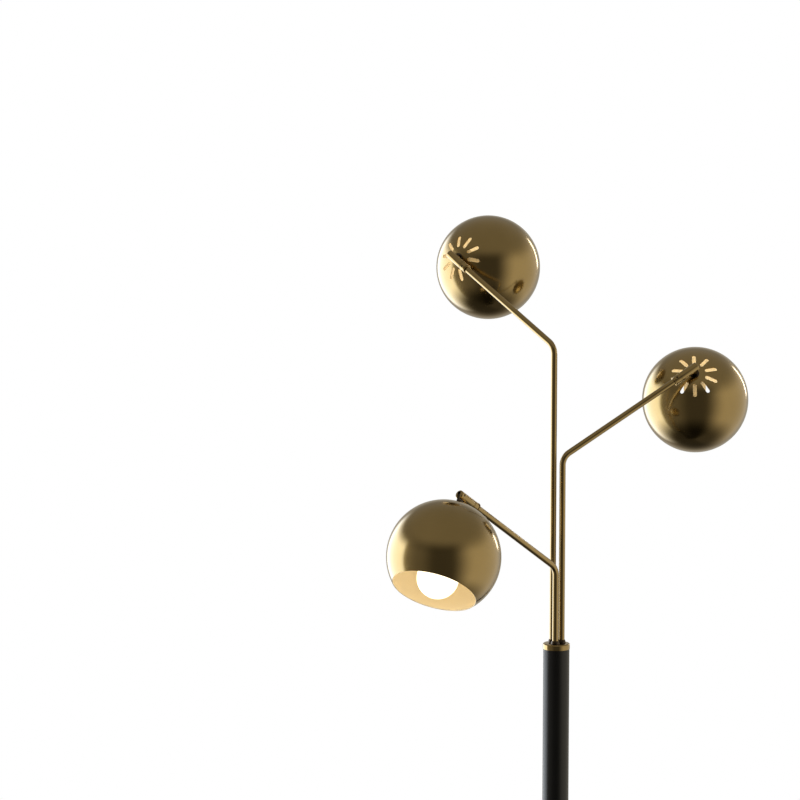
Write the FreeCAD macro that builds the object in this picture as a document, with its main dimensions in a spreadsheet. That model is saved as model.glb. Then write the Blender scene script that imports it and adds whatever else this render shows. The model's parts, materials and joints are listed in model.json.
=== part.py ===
"""Tree floor lamp: three bent brass stems on a black pole, each with a ball shade on a swivel knuckle.

Millimetres, +Z up. The origin is the centre of the base's underside, on the floor. X runs to the right and
Y away from someone who faces the lamp. Each piece is drawn in a frame of its own (an arm's stem, the axis
of a knuckle, the axis of a shade) and placed in the lamp by its Placement.
"""
import FreeCAD, Part
import Sketcher
import math
import os
import re

# ---------------------------------------------------------------------------------------------------------
# Driving dimensions: every name is an alias in the sheet "Sizes". A text that starts with = is worked out
# by the sheet from the others.
# ---------------------------------------------------------------------------------------------------------
SIZES = {
    # base
    "base_radius": 140.0,
    "cover_height": 24.0,
    "cover_wall": 1.5,
    "cover_edge_round": 7.0,
    "pad_radius": 128.0,
    "pad_thickness": 2.0,
    "weight_gap": 2.0,
    "weight_chamfer": 8.0,
    "bolt_radius": 6.0,
    "bolt_head_radius": 10.5,
    "bolt_head_thickness": 7.0,
    "bolt_recess_depth": 9.0,
    "bolt_recess_radius": 18.0,
    "bolt_engagement": 16.0,
    "bolt_root": 1.0,
    "foot_collar_radius": 29.0,
    "foot_collar_neck_radius": 22.5,
    "foot_collar_height": 11.0,
    "foot_collar_land": 3.0,
    # pole
    "pole_radius": 20.0,
    "pole_wall": 1.5,
    "pole_foot_thickness": 14.0,
    "pole_joint_height": 520.0,
    "coupler_ring_width": 3.0,
    "coupler_length": 76.0,
    "coupler_bore_radius": 12.0,
    "collar_top_height": 1008.0,
    "collar_ring_height": 8.5,
    "collar_overhang": 0.5,
    "collar_edge": 1.2,
    "collar_spigot": 22.0,
    # fits
    "fixed_clearance": 0.05,
    "running_clearance": 0.05,
    "moving_gap": 0.3,
    # switch and cord inlet
    "switch_drop": 298.0,
    "switch_body_radius": 8.0,
    "switch_body_depth": 13.0,
    "switch_body_face": 15.0,
    "switch_bushing_radius": 5.0,
    "switch_bushing_reach": 1.8,
    "switch_shaft_radius": 2.0,
    "switch_shaft_reach": 8.0,
    "switch_nut_thickness": 1.6,
    "switch_nut_radius": 8.0,
    "knob_radius": 8.3,
    "knob_rim": 2.4,
    "knob_tip_radius": 3.6,
    "knob_length": 10.5,
    "knob_tip_round": 1.2,
    "knob_gap": 0.5,
    "grommet_rise": 40.0,
    "grommet_radius": 4.6,
    "grommet_flange_radius": 6.8,
    "grommet_flange": 1.8,
    "cable_radius": 3.0,
    "cable_bend_radius": 14.0,
    "cable_rise_angle": 0.0,
    # stems and arms
    "stem_circle_radius": 8.07,
    "stem_phase": 14.4,
    "tube_radius": 4.75,
    "tube_bore_radius": 3.55,
    "wire_radius": 2.8,
    "stem_insert": 38.0,
    "stem_clip_radius": 6.6,
    "stem_clip_thickness": 3.0,
    "ferrule_radius": 6.8,
    "ferrule_neck_radius": 5.35,
    "ferrule_height": 5.0,
    "ferrule_land": 1.2,
    "lowest_bend": 117.3,
    "bend_spacing": 167.5,
    "bend_radius": 22.0,
    "arm_length": 247.7,
    "arm_elevation": 31.9,
    "upper_azimuth": 136.4,
    "middle_azimuth": 14.5,
    "lower_azimuth": 225.5,
    # knuckle, measured back from the sleeve's tip
    "sleeve_radius": 6.6,
    "sleeve_length": 31.0,
    "sleeve_bore_radius": 3.5,
    "sleeve_chamfer": 0.9,
    "pin_setback": 5.4,
    "pin_radius": 1.5,
    "pin_length": 12.6,
    "slot_width": 5.2,
    "slot_depth": 12.6,
    "slot_roof": 1.9,
    "ring_length": 13.0,
    "ring_flange_radius": 7.1,
    "ring_flange": 1.2,
    "ring_neck_width": 1.3,
    "ring_neck_depth": 0.9,
    "ring_groove_width": 0.7,
    "ring_groove_depth": 0.35,
    "ring_groove_setback": 1.4,
    "ring_socket_depth": 10.4,
    "ring_spigot_length": 9.0,
    "ring_bore_radius": 2.3,
    "ring_screw_radius": 1.5,
    "ring_screw_socket_radius": 0.75,
    "ring_screw_setback": 7.0,
    # tongue and crown
    "tongue_thickness": 4.9,
    "tongue_head_radius": 4.2,
    "neck_start": 8.8,
    "neck_radius": 4.75,
    "neck_bore_radius": 2.2,
    "neck_bore_end": 4.0,
    "tongue_root": 1.0,
    "stud_radius": 4.2,
    "stud_length": 16.0,
    "washer_radius": 7.4,
    "washer_thickness": 1.3,
    "crown_nut_radius": 8.0,
    "crown_nut_thickness": 4.0,
    # shade
    "shade_radius": 82.5,
    "shade_wall": 1.0,
    "shade_centre": 100.3,
    "shade_opening_depth": 54.9,
    "crown_flat_radius": 8.4,
    "vent_start_radius": 17.2,
    "vent_end_radius": 36.2,
    "vent_width": 5.7,
    "vent_count": 10,
    "upper_vent_turn": 8.5,
    "middle_vent_turn": 17.5,
    "lower_vent_turn": 18.0,
    # socket and bulb, measured from the hinge pin
    "socket_radius": 17.0,
    "socket_length": 55.0,
    "socket_stud_room": 1.0,
    "screw_shell_radius": 13.9,
    "screw_shell_wall": 0.5,
    "screw_shell_floor": 1.0,
    "screw_shell_length": 21.5,
    "bulb_reach": 146.0,
    "bulb_length": 107.0,
    "bulb_radius": 30.0,
    "bulb_glass": 0.9,
    "bulb_neck_radius": 13.3,
    "bulb_neck_drop": 47.0,
    "cap_radius": 13.1,
    "cap_length": 26.0,
    "cap_taper": 4.0,
    "cap_contact_radius": 5.0,
    # directions of the three shade axes, from crown to opening: compass angle and height angle
    "upper_shade_azimuth": 52.0,
    "upper_shade_elevation": -12.6,
    "middle_shade_azimuth": 81.8,
    "middle_shade_elevation": -34.6,
    "lower_shade_azimuth": 244.1,
    "lower_shade_elevation": -53.6,
    # worked out by the sheet
    "pole_bore_radius": "=pole_radius - pole_wall",
    "cover_inner_radius": "=base_radius - cover_wall",
    "cover_underside": "=cover_height - cover_wall",
    "collar_bottom": "=collar_top_height - collar_ring_height",
    "coupler_ring_foot": "=pole_joint_height - coupler_ring_width / 2",
    "coupler_ring_top": "=pole_joint_height + coupler_ring_width / 2",
    "switch_height": "=collar_top_height - switch_drop",
    "switch_bushing_end": "=pole_radius + switch_bushing_reach",
    "switch_nut_seat": "=pole_radius + fixed_clearance",
    "switch_nut_end": "=switch_nut_seat + switch_nut_thickness",
    "knob_foot": "=switch_nut_end + knob_gap",
    "switch_shaft_end": "=knob_foot + switch_shaft_reach",
    "grommet_height": "=cover_height + grommet_rise",
    "cable_top": "=switch_height - switch_body_radius - moving_gap",
    "cable_drop": "=cable_top - grommet_height",
    "cable_reach": "=pole_radius + grommet_flange",
    "lower_bend": "=stem_insert + lowest_bend",
    "middle_bend": "=lower_bend + bend_spacing",
    "upper_bend": "=middle_bend + bend_spacing",
    "arm_reach": "=arm_length * cos(arm_elevation)",
    "arm_rise": "=arm_length * sin(arm_elevation)",
    "ring_front": "=sleeve_length + moving_gap",
    "ring_back": "=ring_front + ring_length",
    "ring_shoulder": "=ring_back - ring_socket_depth",
    "tube_reach": "=arm_length + pin_setback - ring_shoulder - fixed_clearance",
    "crown_height": "=shade_centre - sqrt(shade_radius^2 - crown_flat_radius^2)",
    "crown_inside": "=shade_centre - sqrt((shade_radius - shade_wall)^2 - crown_flat_radius^2)",
    "washer_foot": "=crown_height - washer_thickness",
    "stud_end": "=washer_foot + stud_length",
    "opening_height": "=shade_centre + shade_opening_depth",
    "socket_foot": "=crown_inside + crown_nut_thickness + fixed_clearance",
    "socket_lip": "=socket_foot + socket_length",
    "cap_foot": "=crown_height + bulb_reach - bulb_length",
    "cap_top": "=cap_foot + cap_length",
    "bulb_centre": "=crown_height + bulb_reach - bulb_radius",
    "neck_height": "=bulb_centre - bulb_neck_drop",
    "screw_shell_foot": "=cap_foot - screw_shell_floor - fixed_clearance",
}
ARMS = ("upper", "middle", "lower")
CLOSE = 1e-6  # mm, when looking for an edge by its radius and height

document = FreeCAD.newDocument("tree_floor_lamp")
sheet = document.addObject("Spreadsheet::Sheet", "Sizes")
for row, (alias, amount) in enumerate(SIZES.items(), start=1):
    sheet.set(f"A{row}", alias)
    sheet.set(f"B{row}", str(amount))
    sheet.setAlias(f"B{row}", alias)
document.recompute()


def size(alias):
    """The sheet's value of one size."""
    return float(sheet.get(alias))


def linked(formula):
    """A formula in plain aliases, written the way an object of the document refers to the sheet."""
    return re.sub(r"[a-z][a-z_]+", lambda word: "Sizes." + word[0] if word[0] in SIZES else word[0], formula)


def origin_plane(body, role):
    return [feature for feature in body.Origin.OriginFeatures if feature.Role == role][0]


def new_sketch(body, name, role):
    sketch = body.newObject("Sketcher::SketchObject", name)
    sketch.AttachmentSupport = (origin_plane(body, role), [""])
    sketch.MapMode = "FlatFace"
    return sketch


def fix(sketch, kind, formula, start, *rest):
    """A dimension of the sketch, driven by the sheet. start is what it measures at the moment."""
    index = sketch.addConstraint(Sketcher.Constraint(kind, *rest, start))
    sketch.setExpression(f"Constraints[{index}]", linked(formula))


def fix_point(sketch, edge, end, across, up):
    """Puts the end of an edge at a place that two formulas give. On an axis the formula is None."""
    if across is None:
        sketch.addConstraint(Sketcher.Constraint("PointOnObject", edge, end, -2))
    else:
        fix(sketch, "DistanceX", across, 1.0, -1, 1, edge, end)
    if up is None:
        sketch.addConstraint(Sketcher.Constraint("PointOnObject", edge, end, -1))
    else:
        fix(sketch, "DistanceY", up, 1.0, -1, 1, edge, end)


def outline(sketch, corners):
    """A closed outline of straight lines through the corners, each a pair of formulas."""
    count = len(corners)
    turns = [math.tau * k / count for k in range(count)]
    spots = [FreeCAD.Vector(math.cos(turn), math.sin(turn), 0) for turn in turns]
    for k in range(count):
        sketch.addGeometry(Part.LineSegment(spots[k], spots[(k + 1) % count]))
    for k in range(count):
        sketch.addConstraint(Sketcher.Constraint("Coincident", k, 2, (k + 1) % count, 1))
    for k, (across, up) in enumerate(corners):
        fix_point(sketch, k, 1, across, up)


def revolve(body, sketch, label):
    turn = body.newObject("PartDesign::Revolution", label + "_turning")
    turn.Profile = sketch
    turn.ReferenceAxis = (sketch, ["V_Axis"])
    turn.Angle = 360.0
    return turn


def turned(label, corners):
    """A body turned on a lathe about its Z axis, from a half section of radius and height formulas."""
    body = document.addObject("PartDesign::Body", label)
    sketch = new_sketch(body, label + "_section", "XZ_Plane")
    outline(sketch, corners)
    revolve(body, sketch, label)
    return body


def cut(body, name, role, shape, length=None, side="Symmetric", towards_normal=False):
    """A pocket from one of the body's origin planes. shape draws its sketch, and no length means through."""
    sketch = new_sketch(body, name + "_sketch", role)
    shape(sketch)
    pocket = body.newObject("PartDesign::Pocket", name)
    pocket.Profile = sketch
    pocket.SideType = side
    pocket.Reversed = towards_normal
    if length is None:
        pocket.Type = "ThroughAll"
    else:
        pocket.setExpression("Length", linked(length))
    return pocket


def circle(radius, across=None, up=None):
    """Draws a circle in a sketch, at formulas for its centre or on the axes."""
    def draw(sketch):
        sketch.addGeometry(Part.Circle(FreeCAD.Vector(1, 1, 0), FreeCAD.Vector(0, 0, 1), 1))
        edge = sketch.GeometryCount - 1
        fix_point(sketch, edge, 3, across, up)
        fix(sketch, "Radius", radius, 1.0, edge)
    return draw


def rectangle(left, right, low, high):
    """Draws a rectangle between formulas for its sides."""
    return lambda sketch: outline(sketch, [(left, low), (right, low), (right, high), (left, high)])


def patterned(body, feature, name, count):
    """Repeats a feature evenly about the body's Z axis."""
    pattern = body.newObject("PartDesign::PolarPattern", name)
    pattern.Originals = [feature]
    pattern.Axis = (origin_plane(body, "Z_Axis"), [""])
    pattern.Angle = 360.0
    pattern.Occurrences = count
    body.Tip = pattern
    return pattern


def bent_rod(label, radius, bore, bend_height, bend_round, elevation, reach):
    """A rod or tube that rises from the origin along Z, bends towards X and runs on from there by reach."""
    body = document.addObject("PartDesign::Body", label)
    path = new_sketch(body, label + "_path", "XZ_Plane")
    rise = math.radians(size(elevation))
    away = FreeCAD.Vector(math.cos(rise), math.sin(rise), 0)
    corner = FreeCAD.Vector(0, size(bend_height), 0)
    bend = size(bend_round) * math.tan((math.pi / 2 - rise) / 2)
    low, high = corner - FreeCAD.Vector(0, bend, 0), corner + away * bend
    centre = low + FreeCAD.Vector(size(bend_round), 0, 0)
    turning = Part.Circle(centre, FreeCAD.Vector(0, 0, 1), size(bend_round))
    path.addGeometry(Part.LineSegment(FreeCAD.Vector(0, 0, 0), low))
    path.addGeometry(Part.ArcOfCircle(turning, math.pi / 2 + rise, math.pi))
    path.addGeometry(Part.LineSegment(high, corner + away * size(reach)))
    path.addConstraint(Sketcher.Constraint("Coincident", 0, 1, -1, 1))
    path.addConstraint(Sketcher.Constraint("Coincident", 0, 2, 1, 2))
    path.addConstraint(Sketcher.Constraint("Coincident", 1, 1, 2, 1))
    path.addConstraint(Sketcher.Constraint("Horizontal", 0, 2, 1, 3))
    run = f"{bend_round} * tan((90 - {elevation}) / 2)"
    fix_point(path, 0, 2, None, f"{bend_height} - {run}")
    fix_point(path, 2, 1, f"{run} * cos({elevation})", f"{bend_height} + {run} * sin({elevation})")
    fix_point(path, 2, 2, f"{reach} * cos({elevation})", f"{bend_height} + {reach} * sin({elevation})")
    section = new_sketch(body, label + "_section", "XY_Plane")
    for wall in (radius, bore):
        if wall is not None:
            section.addGeometry(Part.Circle(FreeCAD.Vector(0, 0, 0), FreeCAD.Vector(0, 0, 1), 1))
            section.addConstraint(Sketcher.Constraint("Coincident", section.GeometryCount - 1, 3, -1, 1))
            fix(section, "Radius", wall, 1.0, section.GeometryCount - 1)
    pipe = body.newObject("PartDesign::AdditivePipe", label + "_bending")
    pipe.Profile = section
    pipe.Spine = path
    return body


def stacked(label, kind, parts):
    """A boolean of primitives (Part::Fuse, Part::Cut or Part::Compound) as one piece."""
    piece = document.addObject(kind, label)
    if kind == "Part::Compound":
        piece.Links = parts
    else:
        piece.Base, piece.Tool = parts
    return piece


def cylinder(name, radius, length, foot=None):
    rod = document.addObject("Part::Cylinder", name)
    rod.setExpression("Radius", linked(radius))
    rod.setExpression("Height", linked(length))
    if foot:
        rod.setExpression("Placement.Base.z", linked(foot))
    return rod


def hexagon(name, radius, length, foot=None):
    prism = document.addObject("Part::Prism", name)
    prism.Polygon = 6
    prism.setExpression("Circumradius", linked(radius))
    prism.setExpression("Height", linked(length))
    if foot:
        prism.setExpression("Placement.Base.z", linked(foot))
    return prism


def direction(azimuth, elevation):
    """A unit vector from a compass angle about Z and a height angle, in degrees."""
    turn, rise = math.radians(azimuth), math.radians(elevation)
    return FreeCAD.Vector(math.cos(rise) * math.cos(turn), math.cos(rise) * math.sin(turn), math.sin(rise))


def frame(origin, x_axis, y_axis, z_axis):
    return FreeCAD.Placement(origin, FreeCAD.Rotation(x_axis, y_axis, z_axis, "ZXY"))


def lift(height):
    return FreeCAD.Placement(FreeCAD.Vector(0, 0, height), FreeCAD.Rotation())


def spun(degrees):
    return FreeCAD.Placement(FreeCAD.Vector(), FreeCAD.Rotation(FreeCAD.Vector(0, 0, 1), degrees))


WORLD = FreeCAD.Placement()
pieces = {}


def keep(node, piece, placement=WORLD):
    """Adds a finished piece to the lamp under its node's name, at its place."""
    piece.Label = node
    pieces[node] = (piece, placement)


# ---------------------------------------------------------------------------------------------------------
# Base: a cast-iron weight under a spun steel cover, on a foam pad, bolted to the pole from below.
# ---------------------------------------------------------------------------------------------------------
def make_base():
    bolt_hole = "bolt_radius + running_clearance"
    keep("base_pad", turned("base_pad", [
        (None, "0"),
        ("pad_radius", "0"),
        ("pad_radius", "pad_thickness"),
        (None, "pad_thickness"),
    ]))
    weight_edge = "cover_inner_radius - weight_gap"
    recess_top = "pad_thickness + bolt_recess_depth"
    keep("base_weight", turned("base_weight", [
        ("bolt_recess_radius", "pad_thickness"),
        (weight_edge, "pad_thickness"),
        (weight_edge, "cover_underside - weight_chamfer"),
        (f"{weight_edge} - weight_chamfer", "cover_underside"),
        (bolt_hole, "cover_underside"),
        (bolt_hole, recess_top),
        ("bolt_recess_radius", recess_top),
    ]))
    cover = turned("base_cover", [
        ("cover_inner_radius", "pad_thickness"),
        ("base_radius", "pad_thickness"),
        ("base_radius", "cover_height"),
        (bolt_hole, "cover_height"),
        (bolt_hole, "cover_underside"),
        ("cover_inner_radius", "cover_underside"),
    ])
    round_edge(cover, "cover_inner_radius", "cover_underside", "cover_edge_round - cover_wall")
    round_edge(cover, "base_radius", "cover_height", "cover_edge_round")
    keep("base_cover", cover)
    head_foot, shank_foot = f"{recess_top} - bolt_head_thickness", f"{recess_top} - bolt_root"
    shank_length = f"cover_height + bolt_engagement - ({shank_foot})"
    head = hexagon("bolt_head", "bolt_head_radius", "bolt_head_thickness", head_foot)
    shank = cylinder("bolt_shank", "bolt_radius", shank_length, shank_foot)
    keep("base_bolt", stacked("base_bolt", "Part::Fuse", (head, shank)))
    pole_seat = "pole_radius + fixed_clearance"
    keep("foot_collar", turned("foot_collar", [
        (pole_seat, "cover_height"),
        ("foot_collar_radius", "cover_height"),
        ("foot_collar_radius", "cover_height + foot_collar_land"),
        ("foot_collar_neck_radius", "cover_height + foot_collar_height"),
        (pole_seat, "cover_height + foot_collar_height"),
    ]))


def round_edge(body, radius, height, amount):
    """Fillets the circular edge of a turned body that has this radius at this height."""
    document.recompute()
    wanted = size(radius), size(height)
    for number, edge in enumerate(body.Shape.Edges, start=1):
        curve = edge.Curve
        if isinstance(curve, Part.Circle) and math.dist(wanted, (curve.Radius, curve.Center.z)) < CLOSE:
            sharp = body.Tip
            fillet = body.newObject("PartDesign::Fillet", f"{body.Name}_round_{number}")
            fillet.Base = (sharp, [f"Edge{number}"])
            fillet.setExpression("Radius", linked(amount))
            body.Tip = fillet
            return
    raise RuntimeError(f"{body.Label} has no edge to round")


# ---------------------------------------------------------------------------------------------------------
# Pole: two steel tubes screwed together by a coupler, closed at the top by the brass collar.
# ---------------------------------------------------------------------------------------------------------
def make_pole():
    bolt_hole = "bolt_radius + running_clearance"
    foot_top = "cover_height + pole_foot_thickness"
    lower = turned("lower_pole", [
        (bolt_hole, "cover_height"),
        ("pole_radius", "cover_height"),
        ("pole_radius", "coupler_ring_foot"),
        ("pole_bore_radius", "coupler_ring_foot"),
        ("pole_bore_radius", foot_top),
        (bolt_hole, foot_top),
    ])
    cut(lower, "inlet_hole", "XZ_Plane", circle("grommet_radius + fixed_clearance", None, "grommet_height"),
        side="One side", length="pole_radius + pole_wall")
    keep("lower_pole", lower)
    half = "coupler_length / 2"
    sleeve = "pole_bore_radius - fixed_clearance"
    keep("pole_coupler", turned("pole_coupler", [
        ("coupler_bore_radius", f"pole_joint_height - {half}"),
        (sleeve, f"pole_joint_height - {half}"),
        (sleeve, "coupler_ring_foot"),
        ("pole_radius", "coupler_ring_foot"),
        ("pole_radius", "coupler_ring_top"),
        (sleeve, "coupler_ring_top"),
        (sleeve, f"pole_joint_height + {half}"),
        ("coupler_bore_radius", f"pole_joint_height + {half}"),
    ]))
    upper = turned("upper_pole", [
        ("pole_bore_radius", "coupler_ring_top"),
        ("pole_radius", "coupler_ring_top"),
        ("pole_radius", "collar_bottom"),
        ("pole_bore_radius", "collar_bottom"),
    ])
    switch_bore = "switch_bushing_radius + fixed_clearance"
    cut(upper, "switch_hole", "YZ_Plane", circle(switch_bore, None, "switch_height"),
        side="One side", length="pole_radius + pole_wall")
    keep("upper_pole", upper)


def make_top_collar():
    """The collar is one turned plug with a hole for each stem, and a ferrule round each stem on top of it."""
    ring = "pole_radius + collar_overhang"
    spigot = "pole_bore_radius - fixed_clearance"
    collar = turned("top_collar", [
        (None, "collar_bottom - collar_spigot"),
        (spigot, "collar_bottom - collar_spigot"),
        (spigot, "collar_bottom"),
        (ring, "collar_bottom"),
        (ring, "collar_top_height - collar_edge"),
        (f"{ring} - collar_edge", "collar_top_height"),
        (None, "collar_top_height"),
    ])
    hole = cut(collar, "stem_hole", "XY_Plane", circle(
        "tube_radius + running_clearance",
        "stem_circle_radius * cos(stem_phase)",
        "stem_circle_radius * sin(stem_phase)",
    ), side="One side", length=None, towards_normal=True)
    patterned(collar, hole, "stem_holes", len(ARMS))
    keep("top_collar", collar)
    ferrules = []
    for arm in ARMS:
        bore = "tube_radius + running_clearance"
        ferrule = turned(f"ferrule_{arm}", [
            (bore, "0"),
            ("ferrule_radius", "0"),
            ("ferrule_radius", "ferrule_land"),
            ("ferrule_neck_radius", "ferrule_height"),
            (bore, "ferrule_height"),
        ])
        ferrule.Placement = stem_frame(arm).multiply(lift(size("stem_insert")))
        ferrules.append(ferrule)
    keep("ferrules", stacked("ferrules", "Part::Compound", ferrules))


# ---------------------------------------------------------------------------------------------------------
# Switch and wiring: a rotary switch through the pole's wall, its knob, the cable and its inlet.
# ---------------------------------------------------------------------------------------------------------
def make_switch():
    outwards = frame(
        FreeCAD.Vector(0, 0, size("switch_height")),
        FreeCAD.Vector(0, 0, 1), FreeCAD.Vector(0, -1, 0), FreeCAD.Vector(-1, 0, 0),
    )
    keep("switch_body", turned("switch_body", [
        (None, "switch_body_face - switch_body_depth"),
        ("switch_body_radius", "switch_body_face - switch_body_depth"),
        ("switch_body_radius", "switch_body_face"),
        ("switch_bushing_radius", "switch_body_face"),
        ("switch_bushing_radius", "switch_bushing_end"),
        ("switch_shaft_radius", "switch_bushing_end"),
        ("switch_shaft_radius", "switch_shaft_end"),
        (None, "switch_shaft_end"),
    ]), outwards)
    nut = hexagon("switch_nut_hexagon", "switch_nut_radius", "switch_nut_thickness")
    nut_bore = cylinder("switch_nut_bore", "switch_bushing_radius + fixed_clearance", "switch_nut_thickness")
    keep("switch_nut", stacked("switch_nut", "Part::Cut", (nut, nut_bore)),
         outwards.multiply(lift(size("switch_nut_seat"))))
    bore = "switch_shaft_radius + running_clearance"
    keep("switch_knob", turned("switch_knob", [
        (bore, "knob_foot"),
        ("knob_radius", "knob_foot"),
        ("knob_radius", "knob_foot + knob_rim"),
        ("knob_tip_radius", "knob_foot + knob_length - knob_tip_round"),
        ("knob_tip_radius - knob_tip_round", "knob_foot + knob_length"),
        (None, "knob_foot + knob_length"),
        (None, "switch_shaft_end + moving_gap"),
        (bore, "switch_shaft_end + moving_gap"),
    ]), outwards)
    inlet = frame(
        FreeCAD.Vector(0, 0, size("grommet_height")),
        FreeCAD.Vector(1, 0, 0), FreeCAD.Vector(0, 0, -1), FreeCAD.Vector(0, 1, 0),
    )
    keep("cord_grommet", turned("cord_grommet", [
        ("cable_radius + fixed_clearance", "pole_bore_radius - grommet_flange"),
        ("grommet_radius", "pole_bore_radius - grommet_flange"),
        ("grommet_radius", "pole_radius + fixed_clearance"),
        ("grommet_flange_radius", "pole_radius + fixed_clearance"),
        ("grommet_flange_radius", "pole_radius + grommet_flange"),
        ("cable_radius + fixed_clearance", "pole_radius + grommet_flange"),
    ]), inlet)
    downwards = frame(
        FreeCAD.Vector(0, 0, size("cable_top")),
        FreeCAD.Vector(0, 1, 0), FreeCAD.Vector(1, 0, 0), FreeCAD.Vector(0, 0, -1),
    )
    keep("pole_cable", bent_rod("pole_cable", "cable_radius", None, "cable_drop", "cable_bend_radius",
                                "cable_rise_angle", "cable_reach"), downwards)


# ---------------------------------------------------------------------------------------------------------
# Arms: each a straight stem that turns in the collar, bent outwards, with a swivel ring on its end.
# ---------------------------------------------------------------------------------------------------------
def stem_frame(arm):
    """At the foot of a stem, inside the pole, with X towards the arm's reach."""
    place = {"middle": 0, "upper": 1, "lower": 2}[arm]
    spot = math.radians(size("stem_phase") + place * 360 / len(ARMS))
    azimuth = size(f"{arm}_azimuth")
    origin = FreeCAD.Vector(
        size("stem_circle_radius") * math.cos(spot),
        size("stem_circle_radius") * math.sin(spot),
        size("collar_top_height") - size("stem_insert"),
    )
    return FreeCAD.Placement(origin, FreeCAD.Rotation(FreeCAD.Vector(0, 0, 1), azimuth))


def hinge_point(arm):
    """Where an arm's axis meets the axis of its hinge pin."""
    rise = size(f"{arm}_bend") + size("arm_rise")
    return stem_frame(arm).multVec(FreeCAD.Vector(size("arm_reach"), 0, rise))


def arm_direction(arm):
    return direction(size(f"{arm}_azimuth"), size("arm_elevation"))


def shade_direction(arm):
    return direction(size(f"{arm}_shade_azimuth"), size(f"{arm}_shade_elevation"))


def pin_direction(arm):
    """Along the hinge pin, square to the arm and to the shade's axis."""
    return shade_direction(arm).cross(arm_direction(arm)).normalize()


def knuckle_frame(arm):
    """At the tip of the sleeve, Z back along the arm, X towards the shade, Y along the pin."""
    back = arm_direction(arm).negative()
    across = pin_direction(arm)
    origin = hinge_point(arm) + arm_direction(arm) * size("pin_setback")
    return frame(origin, across.cross(back), across, back)


def shade_frame(arm):
    """At the hinge, Z along the shade's axis from crown to opening, Y along the pin."""
    axis, across = shade_direction(arm), pin_direction(arm)
    return frame(hinge_point(arm), across.cross(axis), across, axis)


def make_arm(arm):
    stem = stem_frame(arm)
    for node, radius, bore in (
        (f"arm_tube_{arm}", "tube_radius", "tube_bore_radius"),
        (f"arm_wire_{arm}", "wire_radius", None),
    ):
        rod = bent_rod(node, radius, bore, f"{arm}_bend", "bend_radius", "arm_elevation", "tube_reach")
        keep(node, rod, stem)
    clip_top = "stem_insert - collar_ring_height - collar_spigot - moving_gap"
    clip_bore = "tube_radius + fixed_clearance"
    keep(f"stem_clip_{arm}", turned(f"stem_clip_{arm}", [
        (clip_bore, f"{clip_top} - stem_clip_thickness"),
        ("stem_clip_radius", f"{clip_top} - stem_clip_thickness"),
        ("stem_clip_radius", clip_top),
        (clip_bore, clip_top),
    ]), stem)
    groove = "ring_front + ring_groove_setback"
    groove_floor = "sleeve_radius - ring_groove_depth"
    flange, neck = "ring_back - ring_flange", "sleeve_radius - ring_neck_depth"
    spigot = "sleeve_bore_radius - running_clearance"
    socket = "tube_radius + fixed_clearance"
    ring = turned(f"swivel_ring_{arm}", [
        ("ring_bore_radius", "ring_front - ring_spigot_length"),
        (spigot, "ring_front - ring_spigot_length"),
        (spigot, "ring_front"),
        ("sleeve_radius", "ring_front"),
        ("sleeve_radius", groove),
        (groove_floor, groove),
        (groove_floor, f"{groove} + ring_groove_width"),
        ("sleeve_radius", f"{groove} + ring_groove_width"),
        ("sleeve_radius", f"{flange} - ring_neck_width"),
        (neck, f"{flange} - ring_neck_width"),
        (neck, flange),
        ("ring_flange_radius", flange),
        ("ring_flange_radius", "ring_back"),
        (socket, "ring_back"),
        (socket, "ring_shoulder"),
        ("ring_bore_radius", "ring_shoulder"),
    ])
    screw_bore = circle("ring_screw_radius + fixed_clearance", None, "ring_back - ring_screw_setback")
    cut(ring, "screw_hole", "YZ_Plane", screw_bore, side="One side", length="2 * sleeve_radius")
    keep(f"swivel_ring_{arm}", ring, knuckle_frame(arm))
    screw_foot = "tube_radius + fixed_clearance"
    screw_end = "sleeve_radius - 3 * fixed_clearance"
    radial = FreeCAD.Placement(
        FreeCAD.Vector(0, 0, size("ring_back") - size("ring_screw_setback")),
        FreeCAD.Rotation(FreeCAD.Vector(0, 1, 0), -90),
    )
    keep(f"ring_screw_{arm}", turned(f"ring_screw_{arm}", [
        (None, screw_foot),
        ("ring_screw_radius", screw_foot),
        ("ring_screw_radius", screw_end),
        ("ring_screw_socket_radius", screw_end),
        ("ring_screw_socket_radius", f"({screw_foot} + {screw_end}) / 2"),
        (None, f"({screw_foot} + {screw_end}) / 2"),
    ]), knuckle_frame(arm).multiply(radial))


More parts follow.
